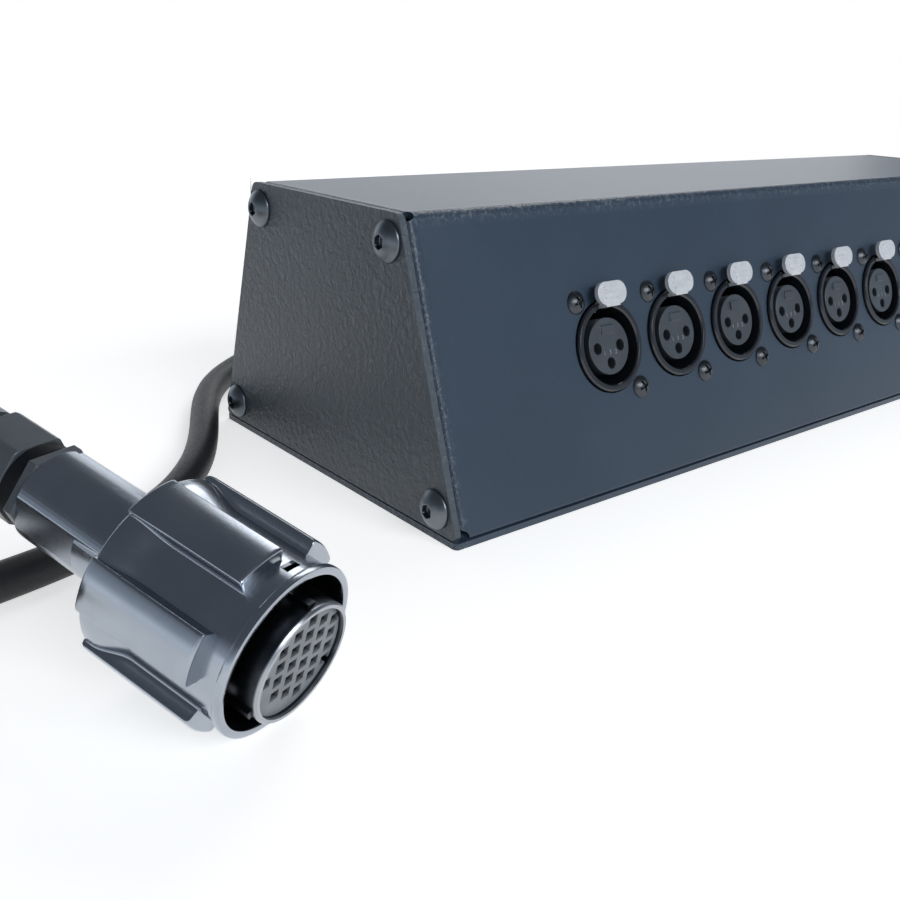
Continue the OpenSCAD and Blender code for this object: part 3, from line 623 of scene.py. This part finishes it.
def plug_barrel_painted_shade():
    """The barrel is darkened by painted shade inside the mouth, behind a painted highlight band
    on its front edge.
    """
    m = Maker("plug_barrel_painted_shade", (0.03, 0.033, 0.038), 0.3, metal=1.0)
    edge = plug_depth(m, 0.0025, 0.0029)
    broad = m.noise(300, 3.0, 0.6)
    dark = m.mix(m.spread(broad, 0.35, 0.7), (0.035, 0.038, 0.045), (0.06, 0.065, 0.075))
    # Painted highlight on the front edge band; painted shade on the barrel behind it.
    m.colour(m.mix(edge, dark, (0.4, 0.42, 0.45)))
    m.bump(m.noise(2600, 2.0, 0.6), 0.2, 0.00002)
    return m.material


MATERIALS = {
    "end_paint": powder_coat(
        "end_powder",
        (0.070, 0.088, 0.107), (0.085, 0.106, 0.126),
        0.0018, 0.00055, 0.4,
    ),
    "shell_paint": shell_coat(),
    "steel_black": satin_metal(
        "black_screws",
        (0.06, 0.065, 0.072), (0.10, 0.105, 0.115), 0.34,
    ),
    "steel_zinc": satin_metal("zinc_nuts", (0.6, 0.59, 0.53), (0.72, 0.71, 0.66), 0.35),
    "die_cast": gloss_black(
        "die_casting",
        (0.010, 0.013, 0.018), (0.018, 0.022, 0.028), 0.16,
    ),
    "insert_plastic": moulded(
        "insert_moulding",
        (0.055, 0.067, 0.082), (0.072, 0.086, 0.102), 0.36,
    ),
    "latch_metal": brushed_tab(),
    "contact_metal": satin_metal(
        "gold_contacts",
        (0.12, 0.085, 0.035), (0.18, 0.13, 0.06), 0.4,
    ),
    "wire_jacket": moulded("wire_jackets", (0.02, 0.02, 0.022), (0.04, 0.04, 0.042), 0.5),
    "nylon": moulded(
        "gland_nylon",
        (0.014, 0.014, 0.016), (0.03, 0.03, 0.033), 0.4,
        grain=0.0007, height=0.00004,
    ),
    "cord_rubber": cable_jacket(),
    "tie_fabric": tie_tape(),
    "plug_metal": satin_metal("plug_anodised", (0.36, 0.395, 0.445), (0.41, 0.445, 0.49), 0.2),
    "plug_bright": satin_metal("plug_light_metal", (0.42, 0.44, 0.46), (0.5, 0.52, 0.54), 0.26),
    "digit_white": moulded("number_fill", (0.36, 0.38, 0.41), (0.44, 0.46, 0.49), 0.42),
    "plug_insert": plug_insert_plastic(),
    "plug_barrel": plug_barrel_painted_shade(),
    # Painted shade: the plug's gold contacts are darkened to near black in their holes.
    "plug_contact": satin_metal(
        "contacts_in_painted_shade",
        (0.02, 0.017, 0.012), (0.035, 0.03, 0.02), 0.5,
    ),
    "gland_metal": moulded(
        "gland_grey",
        (0.085, 0.098, 0.112), (0.105, 0.12, 0.135), 0.34,
        height=0.000006,
    ),
    "screw_grey": satin_metal("grey_screws", (0.13, 0.15, 0.17), (0.18, 0.20, 0.22), 0.36),
    "seal_rubber": moulded(
        "seal_rubber",
        (0.003, 0.004, 0.006), (0.006, 0.007, 0.010), 0.65,
        specular=0.25, grain=0.0009,
    ),
}


# Cable and its tie

def make_cable():
    path = cable_path()
    obj = add_object("multicore_cable", tube_mesh("multicore_cable", path, CORD_R))
    finish_piece(
        obj, "box", MATERIALS["cord_rubber"],
        ["cord_box_run", "cord_coil", "cord_plug_run"],
    )
    return obj, path


def make_tie():
    """A strap round the bundle with rounded corners and a folded end."""
    turn = math.radians(140)
    t0 = (140 - COIL_START) / 360
    r_in = coil_radius(t0 + 4) - CORD_R - 0.0005
    r_out = coil_radius(t0) + CORD_R + 0.0005
    top = COIL_LOW + COIL_RISE + CORD_R + 0.0001
    low = 0.00015
    place = Matrix.Translation((*COIL_AT, 0)) @ Matrix.Rotation(turn, 4, "Z")
    thick = 0.0008
    r = 0.003
    outer = []
    corners = [
        (r_out + thick - r, low + r, -90),
        (r_out + thick - r, top + thick - r, 0),
        (r_in - thick + r, top + thick - r, 90),
        (r_in - thick + r, low + r, 180),
    ]
    for cx, cz, start in corners:
        outer += arc(cx, cz, r, start, start + 90, 6)
    inner = []
    for cx, cz, start in corners:
        inner += arc(cx, cz, r - thick, start, start + 90, 6)
    n = len(outer)
    half = 0.006
    points = []
    for y in (-half, half):
        points += [place @ Vector((x, y, z)) for x, z in outer]
        points += [place @ Vector((x, y, z)) for x, z in inner]
    faces = []
    for i in range(n):
        j = (i + 1) % n
        faces.append((i, j, 2 * n + j, 2 * n + i))
        faces.append((n + j, n + i, 3 * n + i, 3 * n + j))
        faces.append((j, i, n + i, n + j))
        faces.append((2 * n + i, 2 * n + j, 3 * n + j, 3 * n + i))
    band = mesh_from("tie_band", points, faces)
    outward(band)
    flap = [(r_in + 0.008, -0.0055), (r_in + 0.027, -0.0055)]
    flap += [(r_in + 0.0295, -0.003), (r_in + 0.0295, 0.003)]
    flap += [(r_in + 0.027, 0.0055), (r_in + 0.008, 0.0055)]
    over = prism("tie_flap", flap, top + thick, top + 2 * thick - 0.00005, place)
    obj = add_object("coil_tie_strap", joined("coil_tie_strap", [band, over]))
    sharpen(obj.data)
    bevelled(obj, 0.00018, 2)
    return finish_piece(obj, "box", MATERIALS["tie_fabric"], ["coil_tie"])


# Box

def corner_arc(vertex, before, after, radius, steps=8):
    """Rounds a corner of an outline by an arc."""
    a = (Vector(before) - Vector(vertex)).normalized()
    b = (Vector(after) - Vector(vertex)).normalized()
    half = a.angle(b) / 2
    start = Vector(vertex) + a * radius / math.tan(half)
    end = Vector(vertex) + b * radius / math.tan(half)
    centre = Vector(vertex) + (a + b).normalized() * radius / math.sin(half)
    points = []
    for i in range(steps + 1):
        direction = (start - centre).lerp(end - centre, i / steps).normalized()
        points.append(centre + direction * radius)
    return points


def shell_outline(inset):
    """Open outline of the folded wrapper in Y and Z, drawn in by an inset."""
    radius = max(BEND_R - inset, 0.0003)
    low = BASE_T
    high = BOX_H - inset
    front_y = -HALF_D + inset / math.cos(FRONT_LEAN)
    rear_y = HALF_D - inset / math.cos(REAR_LEAN)
    rise = high - BASE_T
    corners = [
        (-HALF_D + FLANGE_W + 0.001, low),
        (front_y, low),
        (front_y + rise * math.tan(FRONT_LEAN), high),
        (rear_y - rise * math.tan(REAR_LEAN), high),
        (rear_y, low),
        (HALF_D - FLANGE_W - 0.001, low),
    ]
    points = [Vector(corners[0])]
    for i in range(1, 5):
        reach = radius if i in (2, 3) else min(radius, 0.0008)
        points += corner_arc(corners[i], corners[i - 1], corners[i + 1], reach)
    points.append(Vector(corners[5]))
    return points


def shell_wrapper():
    """The folded sheet: panels, rounded end bends and inward end flanges."""
    half = SHELL_L / 2
    steps = [i / 6 for i in range(7)]
    stations = [(half, FLANGE_W), (half, 0.006)]
    for t in reversed(steps):
        a = math.radians(90 * t)
        along = half - END_BEND + END_BEND * math.sin(a)
        stations.append((along, END_BEND * (1 - math.cos(a))))
    stations = [(-x, inset) for x, inset in stations] + stations[::-1]
    points = []
    for x, inset in stations:
        points += [Vector((x, p[0], p[1])) for p in shell_outline(inset)]
    count = len(points) // len(stations)
    faces = []
    for k in range(len(stations) - 1):
        for i in range(count - 1):
            a = k * count + i
            faces.append((a, a + 1, a + count + 1, a + count))
    mesh = mesh_from("shell_wrapper", points, faces)
    obj = add_object("shell_sheet", mesh)
    mod = obj.modifiers.new("sheet", "SOLIDIFY")
    mod.thickness = SHEET
    mod.offset = 1.0 if sheet_faces_in(mesh) else -1.0
    mod.use_even_offset = True
    graph = bpy.context.evaluated_depsgraph_get()
    result = bpy.data.meshes.new_from_object(obj.evaluated_get(graph))
    bpy.data.objects.remove(obj)
    return result


def sheet_faces_in(mesh):
    top = max(mesh.polygons, key=lambda face: face.center.z * 10 + face.area)
    return top.normal.z < 0


def rod_mesh(name, place, radius, low, high, sides=32, turn=0.0):
    turns = [2 * math.pi * (k + turn) / sides for k in range(sides)]
    ring = [(radius * math.cos(a), radius * math.sin(a)) for a in turns]
    return prism(name, ring, low, high, place)


def shell_cutters():
    tools = []
    for x in XLR_X:
        here = FRONT @ Matrix.Translation((x, XLR_UP, 0))
        tools.append(rod_mesh("hole", here, 0.012, -0.004, 0.003, 96))
        for s in (-1, 1):
            spot = here @ Matrix.Translation((s * 0.0095, -s * 0.012, 0))
            tools.append(rod_mesh("hole", spot, 0.00165, -0.004, 0.003, 32))
    spot = REAR @ Matrix.Translation((0, -GLAND_UP, 0))
    tools.append(rod_mesh("hole", spot, 0.0081, -0.004, 0.003, 64))
    front_top = -HALF_D + (BOX_H - BASE_T) * math.tan(FRONT_LEAN)
    rear_top = HALF_D - (BOX_H - BASE_T) * math.tan(REAR_LEAN)
    places = [
        (front_top, BOX_H, 35.5),
        (rear_top, BOX_H, -37),
        (-HALF_D, BASE_T, 125.5),
        (HALF_D, BASE_T, -127),
    ]
    for side in (-1, 1):
        for y, z, tilt in places:
            spot = Matrix.Translation((side * (SHELL_L / 2 - 0.0012), y, z)) @ Matrix.Rotation(
                math.radians(tilt), 4, "X"
            )
            tools.append(rod_mesh("hole", spot, 0.0013, -0.0045, 0.004, 32, 0.37))
    return joined("shell_cutters", tools)


def make_shell():
    cutters = shell_cutters()
    mesh = carved(shell_wrapper(), cutters)
    mesh.materials.clear()
    sharpen(mesh, 28)
    obj = shaded(add_object("body_shell_folded", mesh))
    return finish_piece(obj, "box", MATERIALS["shell_paint"], ["body_shell"])


# Connectors

def tab_ribs(n):
    """Three low grip ribs across the pressed tab."""
    here = FRONT @ Matrix.Translation((XLR_X[n - 1], XLR_UP + 0.01305, 0.0038))
    meshes = []
    for y, half in ((-0.0014, 0.0026), (0, 0.003), (0.0014, 0.0026)):
        outline = arc(half, y, 0.00028, -90, 90, 6) + arc(-half, y, 0.00028, 90, 270, 6)
        meshes.append(prism("rib", outline, -0.0001, 0.0003, here))
    return meshes


def digit_mesh(text, place, size):
    curve = bpy.data.curves.new("digit", "FONT")
    curve.body = text
    curve.size = size
    curve.extrude = 0.00006
    curve.align_x = "CENTER"
    curve.align_y = "CENTER"
    curve.resolution_u = 3
    obj = bpy.data.objects.new("digit", curve)
    SCENE.collection.objects.link(obj)
    graph = bpy.context.evaluated_depsgraph_get()
    mesh = bpy.data.meshes.new_from_object(obj.evaluated_get(graph))
    bpy.data.objects.remove(obj)
    mesh.transform(place)
    return mesh


def contact_digits(n):
    here = FRONT @ Matrix.Translation((XLR_X[n - 1], XLR_UP, 0.00005))
    spots = (("1", -0.0021, -0.0017), ("2", 0.0021, -0.0017), ("3", 0.0, -0.0016))
    return [digit_mesh(t, here @ Matrix.Translation((x, y, 0)), 0.0016) for t, x, y in spots]


def make_connectors():
    for n in range(1, 9):
        refined(
            f"xlr_housing_{n}", "box", MATERIALS["die_cast"], 0.00022, 3
        )
        refined(
            f"xlr_insert_{n}", "box", MATERIALS["insert_plastic"], 0.00018, 2
        )
        digits = add_object(f"contact_numbers_{n}", joined("numbers", contact_digits(n)))
        finish_piece(digits, "box", MATERIALS["digit_white"])
        refined(
            f"xlr_latch_{n}", f"latch_{n}", MATERIALS["latch_metal"],
            0.0003, 3, tab_ribs(n),
        )


# Coupling ring of the multipin plug

# Degrees from the middle of a lobe, and the share of its height there
LOBE_MARKS = (
    (13.8, 1.0), (14.6, 0.992), (15.1, 0.965), (15.45, 0.91), (15.7, 0.8), (15.85, 0.65),
    (16.0, 0.35), (16.15, 0.2), (16.4, 0.09), (16.75, 0.035), (17.2, 0.008), (18.0, 0.0),
)


def lobe_share(angle):
    """How far an angle in degrees lies up a lobe, from 0 in a flute to 1 on top."""
    off = abs((angle - LOBE_FIRST + 30) % 60 - 30)
    marks = LOBE_MARKS
    if off <= marks[0][0]:
        return 1.0
    for (a, high), (b, low) in zip(marks, marks[1:]):
        if off <= b:
            return high + (low - high) * (off - a) / (b - a)
    return 0.0


def ring_stations():
    """Heights with the radii in the flutes and on the lobes, from the rear face on."""
    rows = [(-28.0, 15.7, 16.4), (-27.8, 15.95, 16.85)]
    rows += [(-27.4, 16.16, 17.06), (-26.2, 16.16, 17.06)]
    for i in range(1, 9):
        rows.append((-26.2 + 0.9 * i, 16.16 - 1.76 * ease(i / 8), 17.06))
    rows += [(-5.8, 14.4, 17.06), (-5.4, 14.4, 17.0), (-5.12, 14.4, 16.82)]
    rows += [(-5.0, 14.4, 16.5), (-5.0, 14.4, 14.4)]
    bare = [
        (-1.7, 14.4), (-1.5, 14.55), (-1.4, 14.95), (-1.1, 15.1), (-0.5, 15.1),
        (-0.15, 14.98), (0.0, 14.7), (0.0, 14.0), (-0.12, 13.72), (-0.4, 13.6),
        (-24.0, 13.6), (-24.0, 8.76), (-28.0, 8.76),
    ]
    return rows + [(z, r, r) for z, r in bare]


def ring_angles():
    offsets = [0, 3, 6, 9, 12, 20.5, 23, 26, 28.5] + [mark[0] for mark in LOBE_MARKS]
    offsets = sorted({-o for o in offsets} | set(offsets))
    return [LOBE_FIRST + 60 * k + o for k in range(6) for o in offsets]


def make_ring():
    rows = ring_stations()
    angles = ring_angles()
    points = []
    for angle in angles:
        share = lobe_share(angle)
        a = math.radians(angle)
        for z, flute, lobe in rows:
            r = (flute + (lobe - flute) * share) * MM
            points.append(PLUG @ Vector((r * math.cos(a), r * math.sin(a), z * MM)))
    n = len(rows)
    count = len(angles)
    faces = [
        (here + j, there + j, there + (j + 1) % n, here + (j + 1) % n)
        for here, there in [(k * n, (k + 1) % count * n) for k in range(count)]
        for j in range(n)
    ]
    mesh = mesh_from("ring", points, faces)
    outward(mesh)
    slots = []
    for turn in (206, 326, 86):
        place = PLUG @ Matrix.Rotation(math.radians(turn), 4, "Z")
        outline = [(0.0126, -0.0016), (0.0156, -0.0016), (0.0156, 0.0016), (0.0126, 0.0016)]
        slots.append(prism("slot", outline, -0.0044, -0.0028, place))
    mesh = carved(mesh, joined("slots", slots))
    mesh.materials.clear()
    sharpen(mesh, 32)
    obj = shaded(add_object("coupling_ring_fluted", mesh))
    return finish_piece(
        obj, "coupling_ring", MATERIALS["plug_metal"], ["plug_coupling_ring"]
    )


# Plain carry-overs: node, body, slot, edge width

CARRIED = [
    ("end_plate_left", "box", "end_paint", 0.0004, 3),
    ("end_plate_right", "box", "end_paint", 0.0004, 3),
    ("base_plate", "box", "shell_paint", 0.0004, 3),
    ("end_screws_left", "box", "steel_black", 0.00018, 2),
    ("end_screws_right", "box", "steel_black", 0.00018, 2),
    ("xlr_screws", "box", "steel_black", 0.00012, 2),
    ("base_screws", "box", "steel_black", 0.00012, 2),
    ("gland_body", "box", "nylon", 0.0004, 3),
    ("gland_nut", "box", "nylon", 0.0006, 3),
    ("gland_locknut", "box", "nylon", 0.0004, 2),
    ("plug_barrel", "box", "plug_metal", 0.0002, 2),
    ("plug_insert", "box", "plug_insert", 0.0001, 2),
    ("plug_backshell", "box", "plug_metal", 0.0003, 2),
    ("plug_retaining_ring", "box", "plug_bright", 0.0001, 2),
    ("plug_flange", "box", "plug_bright", 0.0002, 2),
    ("plug_seal", "box", "seal_rubber", 0.0005, 3),
    ("plug_gland_nut", "box", "plug_metal", 0.0003, 2),
    ("plug_dome_nut", "box", "plug_metal", 0.0005, 3),
]
KEPT = {
    "end_nuts_left": "steel_zinc",
    "end_nuts_right": "steel_zinc",
    "base_nuts": "steel_zinc",
    "xlr_screw_nuts": "steel_zinc",
    "xlr_contacts": "contact_metal",
    "plug_contacts": "contact_metal",
    "wiring_loom": "wire_jacket",
    "gland_seal": "seal_rubber",
}


# Nodes whose look differs from the rest of their slot
OWN_LOOKS = {
    # The barrel's look is its slot's metal darkened by painted shade, with a painted highlight
    # on its front edge.
    "plug_barrel": "plug_barrel",
    "plug_flange": "gland_metal",
    "plug_gland_nut": "gland_metal",
    "plug_dome_nut": "gland_metal",
    "end_screws_left": "screw_grey",
    "end_screws_right": "screw_grey",
    # The plug contacts' look is their gold darkened by painted shade.
    "plug_contacts": "plug_contact",
}


def make_carried():
    pieces = {}
    for node, body, slot, width, segments in CARRIED:
        material = MATERIALS[OWN_LOOKS.get(node, slot)]
        pieces[node] = refined(node, body, material, width, segments)
    for node, slot in KEPT.items():
        NODES[node].data.materials.clear()
        NODES[node].data.materials.append(MATERIALS[OWN_LOOKS.get(node, slot)])
    return pieces


# Floor and light

FLOOR_GLOW = 0.6
FLOOR_FADE = (0.42, 1.0)


def make_floor():
    """A wide pale floor that fades out well away from the object."""
    mesh = mesh_from("floor", [(-6, -6, 0), (6, -6, 0), (6, 6, 0), (-6, 6, 0)], [(0, 1, 2, 3)])
    floor = add_object("floor", mesh)
    m = Maker("floor_white", (0.93, 0.92, 0.90), 0.9, specular=0.0)
    m.shader.inputs["Emission Color"].default_value = (1, 1, 1, 1)
    path = m.add("ShaderNodeLightPath")
    seen = m.math("MAXIMUM", path.outputs["Is Camera Ray"], path.outputs["Is Glossy Ray"])
    m.link(m.math("MULTIPLY", seen, FLOOR_GLOW), m.shader.inputs["Emission Strength"])
    far = m.add("ShaderNodeVectorMath", operation="LENGTH")
    m.link(m.coords, far.inputs[0])
    m.link(m.spread(far.outputs["Value"], *FLOOR_FADE, 1.0, 0.0), m.shader.inputs["Alpha"])
    mesh.materials.append(m.material)


def area_light(name, place, target, size, power, colour):
    data = bpy.data.lights.new(name, "AREA")
    data.shape = "RECTANGLE"
    data.size, data.size_y = size
    data.energy = power
    data.color = colour
    light = bpy.data.objects.new(name, data)
    light.location = place
    light.rotation_euler = (Vector(target) - Vector(place)).to_track_quat("-Z", "Y").to_euler()
    light.visible_camera = False
    SCENE.collection.objects.link(light)


# Strength of the room: level with the part, above it, and level in reflections
ROOM_COLOUR = (0.76, 0.86, 1, 1)
ROOM_LEVEL = 0.3
ROOM_ABOVE = 0.145
ROOM_ABOVE_FROM = 0.4
ROOM_LEVEL_REFLECTED = 0.7


def make_world():
    world = bpy.data.worlds.new("studio")
    world.use_nodes = True
    tree = world.node_tree
    tree.nodes.clear()
    out = tree.nodes.new("ShaderNodeOutputWorld")
    mix = tree.nodes.new("ShaderNodeMixShader")
    path = tree.nodes.new("ShaderNodeLightPath")
    room = tree.nodes.new("ShaderNodeBackground")
    room.inputs["Color"].default_value = ROOM_COLOUR
    sky = tree.nodes.new("ShaderNodeTexCoord")
    split = tree.nodes.new("ShaderNodeSeparateXYZ")
    fade = tree.nodes.new("ShaderNodeMapRange")
    fade.inputs["From Max"].default_value = ROOM_ABOVE_FROM
    fade.inputs["To Max"].default_value = ROOM_ABOVE
    horizon = tree.nodes.new("ShaderNodeMapRange")
    horizon.inputs["To Min"].default_value = ROOM_LEVEL
    horizon.inputs["To Max"].default_value = ROOM_LEVEL_REFLECTED
    tree.links.new(path.outputs["Is Glossy Ray"], horizon.inputs["Value"])
    tree.links.new(horizon.outputs["Result"], fade.inputs["To Min"])
    tree.links.new(sky.outputs["Generated"], split.inputs[0])
    tree.links.new(split.outputs["Z"], fade.inputs["Value"])
    tree.links.new(fade.outputs["Result"], room.inputs["Strength"])
    white = tree.nodes.new("ShaderNodeBackground")
    white.inputs["Color"].default_value = (1, 1, 1, 1)
    white.inputs["Strength"].default_value = 1.0
    seen = tree.nodes.new("ShaderNodeMath")
    seen.operation = "MAXIMUM"
    tree.links.new(path.outputs["Is Camera Ray"], seen.inputs[0])
    tree.links.new(path.outputs["Is Transmission Ray"], seen.inputs[1])
    tree.links.new(seen.outputs["Value"], mix.inputs[0])
    tree.links.new(room.outputs[0], mix.inputs[1])
    tree.links.new(white.outputs[0], mix.inputs[2])
    tree.links.new(mix.outputs[0], out.inputs["Surface"])
    SCENE.world = world
    SCENE.view_settings.view_transform = "Standard"


# Name, place, target, size, watts and colour
LAMPS = (
    ("back", (0.5, 1.5, 0.52), (0, 0, 0.05), (3.2, 0.9), 7.5, (0.98, 0.99, 1)),
    ("high_right", (1.0, 0.7, 1.2), (-0.05, 0, 0), (0.8, 0.8), 6, (1, 1, 1)),
    ("left_wall", (-0.95, -0.02, 0.038), (-0.25, -0.08, 0.02), (0.9, 0.075), 0.12, (1, 1, 1)),
    ("front", (-0.05, -1.4, 0.85), (0, 0, 0.03), (1.2, 0.5), 13, (0.93, 0.96, 1)),
)


def make_lights():
    for lamp in LAMPS:
        area_light(*lamp)


cable, cable_line = make_cable()
tie = make_tie()
make_shell()
make_connectors()
made = make_carried()
made["plug_coupling_ring"] = make_ring()
make_floor()
make_world()
make_lights()
write_box()
